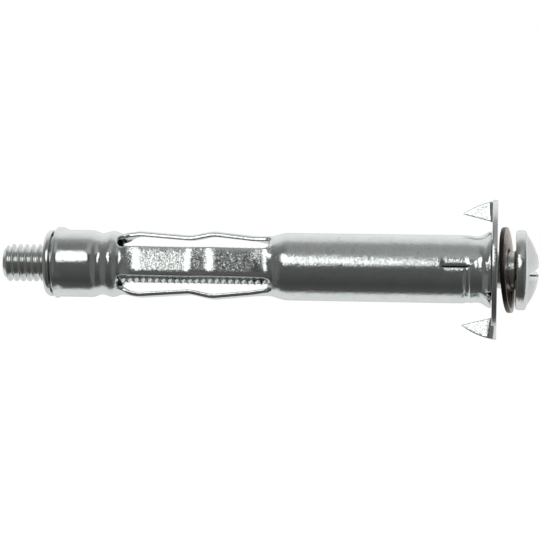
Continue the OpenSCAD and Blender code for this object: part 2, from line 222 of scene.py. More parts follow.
def sheet(name, outline, rims, seams, grid, surface, thick, edge, section, material):
    """A formed sheet of metal. outline is the flat sheet's own loop, and rims are chains of edge points with
    their outward directions. seams are points where the flat sheet is joined to itself, and grid the points
    inside it. surface(points, depth) gives places in space. Each rim gets the same section, edge wide."""
    chains = [r[0] for r in rims]
    starts = np.cumsum([0] + [len(c) for c in chains])
    loops = [outline] + [c for c, _, closed in rims if closed and c is not outline]
    fixed = np.vstack(chains + seams)
    grid = grid[inside(grid, loops)]
    near = np.full(len(grid), np.inf)
    for i in range(0, len(fixed), BATCH):
        d = np.linalg.norm(grid[:, None, :] - fixed[None, i:i + BATCH, :], axis=2).min(axis=1)
        near = np.minimum(near, d)
    flat = np.vstack([fixed, grid[near > GRID_CLEAR]])
    edges = []
    for (chain, _, closed), s in zip(rims, starts):
        n = len(chain)
        edges += [(int(s + i), int(s + (i + 1) % n)) for i in range(n if closed else n - 1)]
    out = delaunay_2d_cdt([Vector(p) for p in flat], edges, [], 0, FLAT_EPSILON)
    v2 = np.array([tuple(v) for v in out[0]])
    tris = np.array(out[2])
    tris = tris[inside(v2[tris].mean(axis=1), loops)]
    found = {}
    for new, olds in enumerate(out[3]):
        for o in olds:
            found[o] = new
    count = len(v2)
    verts = [surface(v2, np.zeros(count)), surface(v2, thick(v2))]
    faces = [tuple(f) for f in tris] + [tuple(count + i for i in f[::-1]) for f in tris]
    total = 2 * count
    for (chain, normal, closed), s in zip(rims, starts):
        n = len(chain)
        t = thick(chain)
        rows = [[found[s + i] for i in range(n)]]
        for out_by, share in section:
            verts.append(surface(chain + normal * edge * out_by, t * share))
            rows.append(range(total, total + n))
            total += n
        rows.append([count + found[s + i] for i in range(n)])
        for r0, r1 in zip(rows[:-1], rows[1:]):
            for i in range(n if closed else n - 1):
                j = (i + 1) % n
                faces.append((r0[i], r0[j], r1[j], r1[i]))
    return new_object(name, np.vstack(verts) * MM, faces, material)


# Shader tools

WHITE = (1, 1, 1, 1)


def opaque(colour):
    return (*colour, 1)


def feed(tree, shader, inputs):
    """Gives a node's inputs plain values or the outputs of other nodes."""
    for key, value in inputs.items():
        if isinstance(value, bpy.types.NodeSocket):
            tree.links.new(value, shader.inputs[key])
        else:
            shader.inputs[key].default_value = value
    return shader


def added(tree, kind, inputs=None, **settings):
    """A new shader node with its settings and inputs."""
    shader = tree.nodes.new("ShaderNode" + kind)
    for key, value in settings.items():
        setattr(shader, key, value)
    return feed(tree, shader, inputs or {})


def mapped(tree, value, levels, to, way="LINEAR"):
    """A value mapped from one range to another and kept in it."""
    ends = {"From Min": levels[0], "From Max": levels[1], "To Min": to[0], "To Max": to[1]}
    return added(tree, "MapRange", {"Value": value, **ends}, interpolation_type=way).outputs["Result"]


def mixed(tree, share, a, b):
    """A mix of two colours."""
    return added(tree, "Mix", {"Factor": share, 6: a, 7: b}, data_type="RGBA").outputs[2]


# Materials

# Scales of the patterns as shares of the crystals' scale, and the height of the waves in metres
LARGER_CRYSTALS = 0.8
WAVE_SCALE = 0.12
SPECK_SCALE = 0.11
CLOUD_SCALE = 0.035
WAVE_HEIGHT = 1.2e-5
# Levels of the noise between which clouds and specks come in, and what they do to colour and roughness
CLOUD_LEVELS = (0.35, 0.7)
CLOUD_TINT = (0.93, 0.95, 0.94)
ROUGH_LEVELS = (0.3, 0.75)
ROUGH_SHARES = (0.8, 1.35)
SPECK_LEVELS = (0.68, 0.76)
SPECK_SHARE = 0.3


def zinc(name, base, rough, grain, tilt, dark=0.6, calm=None, edge=None):
    """Bright zinc on steel: fine crystals, each tilted its own way, over soft waves of the surface, with
    clouds in colour and roughness and dull specks. calm gives two places along X in metres and the share of
    the tilt that is left at the first of them. edge gives the colour of the points that the mesh marks as its
    edge, which paints shade onto them."""
    look = bpy.data.materials.new(name)
    look.use_nodes = True
    tree = look.node_tree
    place = added(tree, "TexCoord").outputs["Object"]

    def noise(scale, detail):
        return added(tree, "TexNoise", {"Scale": scale, "Detail": detail, "Vector": place}).outputs["Fac"]

    def vector(op, *values):
        return added(tree, "VectorMath", dict(enumerate(values)), operation=op).outputs["Vector"]

    def crystals(scale):
        cells = added(tree, "TexVoronoi", {"Scale": scale, "Vector": place})
        return vector("SUBTRACT", cells.outputs["Color"], (0.5, 0.5, 0.5))

    cloud = noise(grain * CLOUD_SCALE, detail=3.0)
    cloud_tint = [c * t for c, t in zip(base, CLOUD_TINT)]
    colour = mixed(tree, mapped(tree, cloud, CLOUD_LEVELS, (0.0, 1.0)), opaque(base), opaque(cloud_tint))
    specks = mapped(tree, noise(grain * SPECK_SCALE, detail=1.0), SPECK_LEVELS, (0.0, SPECK_SHARE))
    colour = mixed(tree, specks, colour, opaque([c * dark for c in base]))
    # the points that the mesh marks as its edge take the edge colour, a painted shade
    if edge:
        mark = added(tree, "Attribute", attribute_name="edge")
        colour = mixed(tree, mark.outputs["Fac"], colour, opaque(edge))
    roughness = mapped(tree, cloud, ROUGH_LEVELS, [rough * share for share in ROUGH_SHARES])
    scale = tilt
    if calm:
        along = added(tree, "SeparateXYZ", {0: place}).outputs["X"]
        scale = mapped(tree, along, calm[:2], (calm[2] * tilt, tilt))
    facets = vector("ADD", crystals(grain), crystals(grain * LARGER_CRYSTALS))
    facets = added(tree, "VectorMath", {0: facets, "Scale": scale}, operation="SCALE").outputs["Vector"]
    facing = vector("NORMALIZE", vector("ADD", added(tree, "NewGeometry").outputs["Normal"], facets))
    waves = added(tree, "Bump", {
        "Strength": 1.0, "Distance": WAVE_HEIGHT, "Height": noise(grain * WAVE_SCALE, detail=2.0),
        "Normal": facing})
    feed(tree, tree.nodes["Principled BSDF"], {
        "Metallic": 1.0, "Base Color": colour, "Roughness": roughness, "Normal": waves.outputs["Normal"]})
    return look


SLEEVE_ZINC = zinc("sleeve_zinc_look", (0.85, 0.89, 0.87), rough=0.12, grain=20000, tilt=0.08,
                   calm=(-0.041, -0.039, 0.65))
PLATE_ZINC = zinc("plate_zinc_look", (0.84, 0.87, 0.85), rough=0.14, grain=15000, tilt=0.075)
NUT_ZINC = zinc("nut_zinc_look", (0.84, 0.87, 0.855), rough=0.14, grain=17000, tilt=0.04)
SCREW_ZINC = zinc("screw_zinc_look", (0.84, 0.87, 0.85), rough=0.13, grain=16000, tilt=0.075)
# the washer's near-black edge colour is partly the steel's darker cut edge and partly painted shade
WASHER_STEEL = zinc("washer_steel_look", (0.52, 0.44, 0.40), rough=0.3, grain=17000, tilt=0.08, dark=0.4,
                    edge=(0.045, 0.04, 0.036))


# Sleeve: one rolled sheet with four slots, bent legs, a crimp, a flared end and a lock cut

SHEET_EDGE = 0.1
SLEEVE_CELL = 0.2
FINE_CELL = 0.1
RIM_STEP = 0.12
HOLE_STEP = 0.14
# The bulges over the nut: the angle and height of each, their place and reach along X, and their reach up and
# down in radians
BULGES = [(math.radians(a), up) for a, up in ((-27.5, 0.14), (92.5, 0.3), (212.5, 0.3))]
BULGE_X, BULGE_LONG = SLEEVE_END_X + 0.75, 0.85
BULGE_UP, BULGE_DOWN = 0.28, 0.42
# The lip at the far end: a low saw of three points with hollow flanks, turned out and thinned
LIP_PEAK = math.radians(-21)
LIP_VALLEY = math.radians(62)
LIP_POINTS = 181
LIP_IN, LIP_OUT, LIP_HOLLOW = 0.2, 0.06, 0.06
LIP_FLARE, LIP_FLARE_X = 0.2, (SLEEVE_END_X + 0.1, SLEEVE_END_X + 0.65)
LIP_THIN, LIP_THIN_X = 0.25, (SLEEVE_END_X - 0.1, SLEEVE_END_X + 0.5)
# The flared end at the plate: the open V of the sheet's seam, and the sheet pushed out beside it
FLARE_END_X = -0.02
SIDE_FROM_X = -2.5
SEAM_A = math.radians(-40)
SEAM_HALF, SEAM_ROOT, SEAM_DEEP = 0.25, 0.04, 0.6
PUSH_A = math.radians(-43)
PUSH_X, PUSH_OUT = -0.95, 0.1
PUSH_LONG, PUSH_WIDE = 0.5, 0.75
# The slots, cut a little nearer to the head than the bends' own places
SLOT_SHIFT = 0.4
CUT_FAR_X, CUT_NEAR_X = FAR_SLOT_X + SLOT_SHIFT, NEAR_SLOT_X + SLOT_SHIFT
SLOT_CORNER = 0.95
# The legs: where they turn flat and twisted, the half width of the flat, and the fold of the edges, with its
# angles in degrees at the two sides
LEG_HALF = math.asin(LEG_WIDE / 2 / TUBE_R)
LEG_FLAT = 1.05
FLAT_FAR_X, FLAT_NEAR_X = (CUT_FAR_X + 0.1, CUT_FAR_X + 1.2), (CUT_NEAR_X - 0.4, CUT_NEAR_X + 0.1)
LEG_TWIST = np.radians([-4.0, 6.5, 0.0, 4.0])
TWIST_FAR_X, TWIST_NEAR_X = (FAR_SLOT_X + 0.5, FAR_SLOT_X + 2.0), (NEAR_SLOT_X - 1.8, NEAR_SLOT_X + 0.2)
FOLD_SIDES, FOLD_ANGLES = (-0.4, 0.4), (16.0, 9.0)
FOLD_SOFT = 0.015
# The lock cut: an open straight run along X with pressed-in edges, and a groove round the tube from its end
LOCK_X = -2.5
LOCK_FROM_X = -5.0
LOCK_UP = math.radians(4.5)
LOCK_DOWN = math.radians(-96)
LOCK_HALF, LOCK_CORNER, LOCK_PAST = 0.015, 0.01, 0.2
DENT, DENT_WIDE = 0.12, 0.45
DENT_FROM_X, DENT_TO_X = (LOCK_FROM_X - 0.25, LOCK_FROM_X + 0.15), (LOCK_X - 0.2, LOCK_X + 0.2)
GROOVE, GROOVE_WALL = 0.1, (0.235, 0.3)
GROOVE_DOWN, GROOVE_UP = (LOCK_DOWN - 0.1, LOCK_DOWN), (LOCK_UP - 0.04, LOCK_UP + 0.04)
# The mesh round the lock cut: lines beside the groove and past its ends, a finer grid round the straight run,
# and the places from which the sheet's own grid keeps away
GROOVE_LINES = (-0.32, -0.27, -0.22, 0.22, 0.27, 0.32)
GROOVE_PAST = 0.3
GROOVE_CLEAR = 0.4
FINE_X, FINE_HALF = (LOCK_FROM_X - 0.4, LOCK_X - 0.35), 0.7
FINE_REACH, FINE_CLEAR = 3.1, 0.75
# Outlines of the sheet's outside as [X, radius] points: the far end, the tube, the tube's near and far sides
# at the flare, and the legs
FAR_LINE = eased([
    (SLEEVE_END_X - 1.2, TUBE_R), (BARREL_IN_X, TUBE_R), (CRIMP_X, 3.15), (FAR_SLOT_X - 0.34, TUBE_R),
    (FAR_SLOT_X + 0.67, 3.14), (FAR_SLOT_X + 2.4, TUBE_R)], [0.3, 0.28, 0.3, 0.2])
TUBE_LINE = eased([
    (NEAR_SLOT_X - 1.6, 3.13), (NEAR_SLOT_X - 0.05, 3.0), (NEAR_SLOT_X + 1.7, TUBE_R), (-2.45, TUBE_R),
    (-1.25, 3.33), (-0.3, 3.95), (0.3, 3.86)], [0.35, 0.4, 0.5, 0.45, 0.12])
SIDE_LINE = eased([(SIDE_FROM_X, TUBE_R), (-0.95, TUBE_R), (-0.3, 3.95), (0.3, 3.86)], [0.16, 0.12])
LEG_LINE = eased([
    (FAR_SLOT_X - 0.34, TUBE_R), (FAR_SLOT_X + 0.67, 3.14), (FAR_SLOT_X + 2.4, TUBE_R),
    (FAR_SLOT_X + 7.9, 3.1), (FAR_SLOT_X + 10.15, 3.58), (NEAR_SLOT_X - 0.05, 2.98),
    (NEAR_SLOT_X + 1.7, TUBE_R)], [0.2, 0.55, 0.4, 0.55, 0.35])


def wrapped(a):
    return (a + math.pi) % (2 * math.pi) - math.pi


def lip_saw(theta):
    """0 in the valleys of the sleeve's far edge, 1 at its three points, with slightly hollow flanks."""
    third = 2 * math.pi / 3
    p = (theta - LIP_PEAK) % third
    up = LIP_VALLEY - LIP_PEAK
    share = np.where(p < up, 1 - p / up, (p - up) / (third - up))
    return share * (1 - LIP_HOLLOW + LIP_HOLLOW * share)


def sleeve_radius(x, theta):
    """Radius of the sleeve's outside where it is round."""
    r = np.where(x < (FAR_SLOT_X + NEAR_SLOT_X) / 2, np.interp(x, FAR_LINE[:, 0], FAR_LINE[:, 1]),
                 np.interp(x, TUBE_LINE[:, 0], TUBE_LINE[:, 1]))
    for a, up in BULGES:
        off = wrapped(theta - a)
        d = np.hypot((x - BULGE_X) / BULGE_LONG, off / np.where(off > 0, BULGE_UP, BULGE_DOWN))
        r = r + up * smooth(1 - d)
    # no waist on the near and far sides, and the sheet pushed out beside its seam
    side = np.where(x > SIDE_FROM_X, np.cos(theta) ** 2, 0.0)
    r = r + side * (np.interp(x, SIDE_LINE[:, 0], SIDE_LINE[:, 1]) - r)
    off = wrapped(theta - PUSH_A) * TUBE_R
    r = r + PUSH_OUT * smooth(1 - np.hypot((x - PUSH_X) / PUSH_LONG, off / PUSH_WIDE))
    r = r + LIP_FLARE * falling(x, *LIP_FLARE_X)
    # the pressed-in edges of the lock cut's straight run, and the groove of its round run
    off = np.abs(theta - LOCK_UP) * TUBE_R
    r = r - DENT * np.exp(-off / DENT_WIDE) * (ramp(x, *DENT_FROM_X) * falling(x, *DENT_TO_X))
    round_run = ramp(theta, *GROOVE_DOWN) * falling(theta, *GROOVE_UP)
    return r - GROOVE * falling(np.abs(x - LOCK_X), *GROOVE_WALL) * round_run


def leg_twist(x, k):
    """The twist of each leg, in radians, easing out at its roots."""
    return LEG_TWIST[k.astype(int)] * falling(x, *TWIST_NEAR_X) * ramp(x, *TWIST_FAR_X)


def sleeve_outside(uv, folded=True):
    """Places of points of the sleeve's outside. uv is X and the arc at the tube's radius."""
    x, theta = uv[:, 0], uv[:, 1] / TUBE_R
    k = np.round((theta - LEG_ROLL) / (math.pi / 2))
    mid = LEG_ROLL + k * math.pi / 2
    phi = theta - mid
    r = sleeve_radius(x, theta)
    flat = ramp(x, *FLAT_FAR_X) * falling(x, *FLAT_NEAR_X)
    c = TUBE_R * np.sin(phi)
    face = np.interp(x, LEG_LINE[:, 0], LEG_LINE[:, 1]) + c * np.tan(leg_twist(x, k % 4))
    if folded:
        past = np.abs(c) - LEG_FLAT
        fold = 0.5 * (past + np.sqrt(past * past + FOLD_SOFT))
        face = face - np.tan(np.radians(np.interp(c, FOLD_SIDES, FOLD_ANGLES))) * fold
    h = (1 - flat) * r * np.cos(phi) + flat * face
    across = (1 - flat) * r * np.sin(phi) + flat * c
    y = -h * np.cos(mid) + across * np.sin(mid)
    z = h * np.sin(mid) + across * np.cos(mid)
    return np.stack([x, y, z], axis=1)


def sleeve_surface(uv, depth):
    """Places at a depth under the sleeve's outside, along the normals of the sheet without its folds."""
    e = 1e-3
    du = sleeve_outside(uv + [e, 0], False) - sleeve_outside(uv - [e, 0], False)
    dv = sleeve_outside(uv + [0, e], False) - sleeve_outside(uv - [0, e], False)
    n = np.cross(du, dv)
    n /= np.linalg.norm(n, axis=1)[:, None]
    return sleeve_outside(uv) - n * np.asarray(depth)[:, None]


def sleeve_thick(uv):
    return SHEET_T - LIP_THIN * falling(uv[:, 0], *LIP_THIN_X)


def sleeve_grid(start, end):
    """Points inside the flat sheet: a grid, finer round the lock cut, with lines along the cut's groove."""
    cut = TUBE_R * LOCK_UP
    run = np.arange(TUBE_R * LOCK_DOWN - GROOVE_PAST, cut + GROOVE_PAST, FINE_CELL)
    groove = [np.stack([np.full(len(run), LOCK_X + x), run], axis=1) for x in GROOVE_LINES]
    fine = square_grid((FINE_X[0], cut - FINE_HALF), (FINE_X[1], cut + FINE_HALF), FINE_CELL)
    grid = square_grid((SLEEVE_END_X - 1, start), (0, end), SLEEVE_CELL)
    off = np.abs(grid[:, 0] - LOCK_X)
    at_groove = (off <= GROOVE_CLEAR) & (grid[:, 1] >= run[0]) & (grid[:, 1] <= run[-1])
    at_cut = (grid[:, 0] > fine[0, 0]) & (off < FINE_REACH) & (np.abs(grid[:, 1] - cut) < FINE_CLEAR)
    return np.vstack([grid[~at_groove & ~at_cut], fine] + groove)


def opening(x0, x1, mid, half, ease):
    """A slot along X with rounded corners."""
    box = [(x0, mid - half), (x1, mid - half), (x1, mid + half), (x0, mid + half)]
    return dense(rounded(box, [ease] * 4, steps=8), HOLE_STEP)


def make_sleeve():
    start = TUBE_R * (LEG_ROLL - math.pi)
    end = start + 2 * math.pi * TUBE_R
    arc = np.linspace(start, end, LIP_POINTS)
    far = np.stack([SLEEVE_END_X + LIP_IN - LIP_OUT * lip_saw(arc / TUBE_R), arc], axis=1)
    far_n = -sideways(far, False)
    far_n[[0, -1]] = (-1, 0)
    # the flared end, with the open V of the sheet's seam
    mid, root_x = TUBE_R * SEAM_A, FLARE_END_X - SEAM_DEEP
    mouth = np.array([
        (FLARE_END_X, start), (FLARE_END_X, mid - SEAM_HALF), (root_x, mid - SEAM_ROOT),
        (root_x, mid + SEAM_ROOT), (FLARE_END_X, mid + SEAM_HALF), (FLARE_END_X, end)])
    near = dense(mouth, RIM_STEP, closed=False)
    near_n = sideways(near, False)
    near_n[[0, -1]] = (1, 0)
    rims = [(far - far_n * SHEET_EDGE, far_n, False), (near - near_n * SHEET_EDGE, near_n, False)]
    half = TUBE_R * (math.pi / 4 - LEG_HALF)
    for k in (-2, -1, 0, 1):
        mid = TUBE_R * (LEG_ROLL + math.pi / 4 + k * math.pi / 2)
        rims.append(hole_rim(opening(CUT_FAR_X, CUT_NEAR_X, mid, half, SLOT_CORNER), SHEET_EDGE))
    # the open straight run of the lock cut
    slit = opening(LOCK_FROM_X, LOCK_X + LOCK_PAST, TUBE_R * LOCK_UP, LOCK_HALF, LOCK_CORNER)
    rims.append(hole_rim(slit, SHEET_EDGE))
    far_c, near_c = rims[0][0], rims[1][0]
    outline = np.vstack([near_c, far_c[::-1]])
    x = np.arange(far_c[0, 0] + SLEEVE_CELL, near_c[0, 0] - SLEEVE_CELL / 2, SLEEVE_CELL)
    seams = [np.stack([x, np.full(len(x), v)], axis=1) for v in (start, end)]
    return sheet("sleeve_sheet", outline, rims, seams, sleeve_grid(start, end), sleeve_surface, sleeve_thick,
                 SHEET_EDGE, PUNCHED_RIM, SLEEVE_ZINC)


# Flange plate: a stamped disc with two spurs bent out of it and a collar drawn into the tube

PLATE_EDGE = 0.06
PLATE_CELL = 0.16
RIM_POINTS = 160
BEND_R = 0.35
BEND_MID = BEND_R + PLATE_T / 2
BEND_ARC = BEND_MID * math.pi / 2
BEND_Y = 0.678
SPUR_ROOT = 4.7
SPUR_TIP = (4.402, 5.66)
SPUR_MID = 5.9
SPUR_LEAN = math.radians(10)
SPUR_OPEN = math.radians(2.5)
KERF = 0.05
KERF_PAST = 0.08
COLLAR_BEND = 3.24
COLLAR_HOLE = COLLAR_BEND - BEND_ARC - 1.85
COLLAR_POINTS = 48
COLLAR_CELL = 0.12
COLLAR_TURN = 0.02


def bent(d, rho):
    """How far along the sheet and down a point goes that lies d past a bend's start, at radius rho."""
    a = np.clip(d / BEND_MID, 0, math.pi / 2)
    rest = np.maximum(d - BEND_ARC, 0)
    along = np.where(d > 0, rho * np.sin(a), d)
    drop = np.where(d > 0, rho * np.cos(a) - rest, rho)
    return along, drop


def plate_surface(uv, depth):
    """Places of points of the flat plate. uv is Y and Z before bending, and depth goes from front to back."""
    rho = BEND_R + PLATE_T - np.asarray(depth)
    y, z = uv[:, 0], uv[:, 1]
    side = np.where(z > 0, 1.0, -1.0)
    ys, zs = y * side, z * side
    line = SPUR_ROOT + (ys - BEND_Y) * (SPUR_TIP[1] - SPUR_ROOT) / (SPUR_TIP[0] - BEND_Y)
    spur = (ys > BEND_Y) & (zs > line)
    along, drop = bent(np.where(spur, ys - BEND_Y, -1.0), rho)
    x = -BEND_R + np.where(spur, drop, rho)
    lean = math.tan(SPUR_LEAN) * (zs - SPUR_MID) * ramp(ys - BEND_Y, 0, BEND_ARC)
    y = np.where(spur, side * (BEND_Y + along + lean) - math.tan(SPUR_OPEN) * np.minimum(x, 0), y)
    r = np.hypot(y, z)
    collar = (r < COLLAR_BEND) & ~spur
    along, drop = bent(np.where(collar, COLLAR_BEND - r, -1.0), rho)
    x = np.where(collar, -BEND_R + drop, x)
    scale = np.where(collar, (COLLAR_BEND - along) / np.maximum(r, 1e-6), 1.0)
    return np.stack([x, y * scale, z * scale], axis=1)


def plate_thick(uv):
    return np.full(len(uv), PLATE_T)


def ring(radius, angles):
    return radius * np.stack([np.cos(angles), np.sin(angles)], axis=1)


def make_plate():
    root = np.array([BEND_Y, SPUR_ROOT])
    rise = np.array(SPUR_TIP) - root
    rise = rise / np.linalg.norm(rise)
    across = np.array([-rise[1], rise[0]])
    # the rim from one spur's cut round to the other's, counter-clockwise in Y and Z, and then into that cut
    tip_a = math.atan2(SPUR_TIP[1], SPUR_TIP[0])
    gap = KERF / PLATE_R
    rim = ring(PLATE_R, np.linspace(tip_a + gap, tip_a + math.pi - gap, RIM_POINTS))
    cut_end = root - across * KERF * 0.2 - rise * KERF_PAST
    half = np.vstack([rim, [-(root - across * KERF), -cut_end, -(root + across * KERF)]])
    loop = dense(np.vstack([half, -half]), PLATE_CELL)
    n = sideways(loop, True)
    outline = loop - n * PLATE_EDGE
    a = np.linspace(0, 2 * math.pi, COLLAR_POINTS, endpoint=False)
    rims = [(outline, n, True), hole_rim(ring(COLLAR_HOLE, a), PLATE_EDGE)]
    # a square grid on the plate, and rings on the collar, each turned a little against the last
    radii = np.arange(COLLAR_HOLE + 0.15, COLLAR_BEND + 0.1, COLLAR_CELL)
    collar = [ring(r, a + COLLAR_TURN * i) for i, r in enumerate(radii)]
    grid = square_grid((-PLATE_R, -PLATE_R), (PLATE_R, PLATE_R), PLATE_CELL)
    grid = grid[np.hypot(grid[:, 0], grid[:, 1]) > COLLAR_BEND + COLLAR_CELL]
    return sheet("flange_plate_sheet", outline, rims, [], np.vstack([grid] + collar), plate_surface,
                 plate_thick, PLATE_EDGE, STAMPED_RIM, PLATE_ZINC)


# Nut

NUT_BORE_R = 1.99
NUT_BARREL_R = 3.06
NUT_COLLAR_R = 3.46


def make_nut():
    outline = rounded([
        (BARREL_IN_X, NUT_BORE_R), (BARREL_IN_X, NUT_BARREL_R), (SLEEVE_END_X, NUT_BARREL_R),
        (SLEEVE_END_X - 0.06, NUT_BARREL_R), (SLEEVE_END_X - 0.14, NUT_COLLAR_R),
        (NUT_END_X + 0.3, NUT_COLLAR_R), (NUT_END_X + 0.02, 3.15), (NUT_END_X, 2.3), (NUT_END_X, 2.2),
        (NUT_END_X + 0.22, NUT_BORE_R)],
        [0.05, 0.2, 0.0, 0.05, 0.06, 0.24, 0.2, 0.04, 0.04, 0.04], steps=6)
    verts, faces = turned(outline, 128)
    return new_object("nut_turned", verts * MM, faces, NUT_ZINC, sharp=SHARP)


# Screw: a thread that is a true helix, a plain shank, and a pan head with a slot and a cross recess

SCREW_SEGMENTS = 72
ROWS_PER_TURN = 10
THREAD_END_X = -3.0
THREAD_ROOT = 1.55
THREAD_FADE = 1.2
# Where a flank ends at the root, and its length, as shares of half a pitch
FLANK_END, FLANK_LONG = 0.88, 0.74
SHANK_R = 1.90
# The tail's chamfer: the radius at the end, the length and the rise
TIP_R, TIP_LONG, TIP_RISE = THREAD_R - 0.5, 0.5, 0.55
HEAD_WALL = 1.05
DOME_IN = 0.4
DOME_STEPS = 24
RECESS_TURN = math.radians(14.5)
SLOT_HALF, SLOT_DEEP, SLOT_REACH = 0.55, 1.0, 6.0
CROSS_HALF = 0.4
# How far the cross goes below and above the crown, and its arms' reach there
CROSS_DEEP, CROSS_FLOOR = 1.5, 0.55
CROSS_ABOVE, CROSS_REACH = 0.35, 2.4
# The recess edges that are rounded: over an angle in degrees, and past a distance from the head's underside
RECESS_SHARP, RECESS_FROM, RECESS_ROUND = 38, 0.6, 0.05


def thread_profile(p):
    """Radius over one pitch: a rounded root, straight flanks and a rounded crest."""
    d = np.abs((p % 1.0) - 0.5) * 2
    t = (FLANK_END - d) / FLANK_LONG
    return THREAD_ROOT + (THREAD_R - THREAD_ROOT) * (0.5 * smooth(t) + 0.5 * np.clip(t, 0, 1))


def screw_thread():
    """Vertices and faces of the thread, chamfered at the tail and faded into the shank."""
    seg, per = SCREW_SEGMENTS, ROWS_PER_TURN
    rows = int((THREAD_END_X - TAIL_X) / PITCH * per) + 2 * per
    turn = np.arange(seg) / seg
    ang = np.arange(seg) * 2 * math.pi / seg
    verts = []
    for j in range(rows + per):
        # right-handed: going up on the near side, the thread moves towards the tail
        x = TAIL_X - 2 * PITCH + (j / per) * PITCH + PITCH * (1 - turn)
        x = np.clip(x, TAIL_X, THREAD_END_X)
        r = thread_profile(np.full(seg, j / per))
        r = np.minimum(r, TIP_R + (x - TAIL_X) / TIP_LONG * TIP_RISE)
        fade = ramp(x, THREAD_END_X - THREAD_FADE, THREAD_END_X)
        r = r * (1 - fade) + SHANK_R * fade
        verts.append(np.stack([x, -r * np.cos(ang), r * np.sin(ang)], axis=1))
    index = np.arange((rows + per) * seg).reshape(rows + per, seg)
    faces = []
    for j in range(rows + per - 1):
        for i in range(seg - 1):
            faces.append((index[j, i], index[j, i + 1], index[j + 1, i + 1], index[j + 1, i]))
    # each row of the first column meets the row of the last column that is one pitch on
    for j in range(rows - 1):
        faces.append((index[j + per, -1], index[j, 0], index[j + 1, 0], index[j + per + 1, -1]))
    return np.vstack(verts), faces


def shank_and_head():
    """The shank and the head as [X, radius] points."""
    flat_r = HEAD_R - DOME_IN
    dome_h = CROWN_X - HEAD_X - HEAD_WALL
    dome_r = (flat_r ** 2 + dome_h ** 2) / (2 * dome_h)
    first = math.acos(flat_r / dome_r)
    dome = []
    for i in range(1, DOME_STEPS + 1):
        a = first + (math.pi / 2 - first) * i / DOME_STEPS
        dome.append((CROWN_X - dome_r + dome_r * math.sin(a), max(0.0, dome_r * math.cos(a))))
    body = [(THREAD_END_X, SHANK_R), (0.0, SHANK_R), (HEAD_X - 0.25, SHANK_R),
            (HEAD_X - 0.08, SHANK_R + 0.06), (HEAD_X, SHANK_R + 0.2)]
    rim = eased([(HEAD_X, SHANK_R + 0.3), (HEAD_X, HEAD_R - 0.12), (HEAD_X + 0.45, HEAD_R + 0.03),
                 (HEAD_X + HEAD_WALL, HEAD_R - 0.1), dome[0]], [0.2, 0.42, 0.25], steps=6)
    return body + [tuple(p) for p in rim] + dome[1:]


def make_screw():
    thread, faces = screw_thread()
    head, head_faces = turned(shank_and_head(), SCREW_SEGMENTS, closed=False)
    tail, tail_faces = turned([(TAIL_X, 0.0), (TAIL_X, TIP_R)], SCREW_SEGMENTS, closed=False)
    faces += [tuple(len(thread) + i for i in f) for f in head_faces]
    faces += [tuple(len(thread) + len(head) + i for i in f) for f in tail_faces]
    return new_object("screw_turned", np.vstack([thread, head, tail]) * MM, faces, SCREW_ZINC)


def slot_cutter():
    xs = (CROWN_X - SLOT_DEEP, CROWN_X + SLOT_DEEP)
    ys, zs = (-SLOT_REACH, SLOT_REACH), (-SLOT_HALF, SLOT_HALF)
    verts = [(x * MM, y * MM, z * MM) for x in xs for y in ys for z in zs]
    faces = [(0, 1, 3, 2), (4, 6, 7, 5), (0, 4, 5, 1), (2, 3, 7, 6), (0, 2, 6, 4), (1, 5, 7, 3)]
    return "slot_cutter", verts, faces


def cross_cutter():
    verts = []
    for x, reach in ((CROWN_X - CROSS_DEEP, CROSS_FLOOR), (CROWN_X + CROSS_ABOVE, CROSS_REACH)):
        for k in range(4):
            c, s = math.cos(k * math.pi / 2), math.sin(k * math.pi / 2)
            for u, v in ((reach, -CROSS_HALF), (reach, CROSS_HALF), (CROSS_HALF, CROSS_HALF)):
                verts.append((x * MM, (u * c - v * s) * MM, (u * s + v * c) * MM))
    n = len(verts) // 2
    faces = [tuple(range(n))[::-1], tuple(range(n, 2 * n))]
    faces += [(i, (i + 1) % n, n + (i + 1) % n, n + i) for i in range(n)]
    return "cross_cutter", verts, faces


def carve_recess(screw):
    """Cuts the driver slot and the cross recess into the head and rounds their edges a little."""
    cutters = []
    for name, verts, faces in (slot_cutter(), cross_cutter()):
        mesh = bpy.data.meshes.new(name)
        mesh.from_pydata(verts, [], faces)
        mesh.transform(Matrix.Rotation(RECESS_TURN, 4, "X"))
        bm = bmesh.new()
        bm.from_mesh(mesh)
        bmesh.ops.recalc_face_normals(bm, faces=bm.faces)
        bm.to_mesh(mesh)
        bm.free()
        cutter = bpy.data.objects.new(name, mesh)
        scene.collection.objects.link(cutter)
        cut = screw.modifiers.new(name, "BOOLEAN")
        cut.operation = "DIFFERENCE"
        cut.solver = "EXACT"
        cut.object = cutter
        cutters.append(cutter)
    done = bpy.data.meshes.new_from_object(screw.evaluated_get(bpy.context.evaluated_depsgraph_get()))
    screw.modifiers.clear()
    bm = bmesh.new()
    bm.from_mesh(done)
    rim = [e for e in bm.edges if len(e.link_faces) == 2 and e.calc_face_angle(0) > math.radians(RECESS_SHARP)
           and min(v.co.x for v in e.verts) > (HEAD_X + RECESS_FROM) * MM]
    bmesh.ops.bevel(bm, geom=rim, offset=RECESS_ROUND * MM, segments=2, affect="EDGES", clamp_overlap=True)
    for f in bm.faces:
        f.smooth = True
    for e in bm.edges:
        e.smooth = not (len(e.link_faces) == 2 and e.calc_face_angle(0) > math.radians(SHARP))
    bm.to_mesh(done)
    bm.free()
    done.materials.clear()
    done.materials.append(SCREW_ZINC)
    screw.data = done
    for cutter in cutters:
        bpy.data.objects.remove(cutter)


# Washer: a plain ring that hangs tilted on the shank, with a dark outer edge, partly its own and partly
# painted shade

WASHER_X = 1.559
WASHER_HALF = 0.275
WASHER_BORE_R = 2.15
WASHER_R = 4.4
WASHER_YAW = math.radians(-7.2)
WASHER_NOD = math.radians(-3.9)
# Where the dark edge, partly painted shade, begins outwards, and where it ends towards the head
DARK_FROM_R = (4.2, 4.3)
DARK_TO_X = (0.18, 0.26)


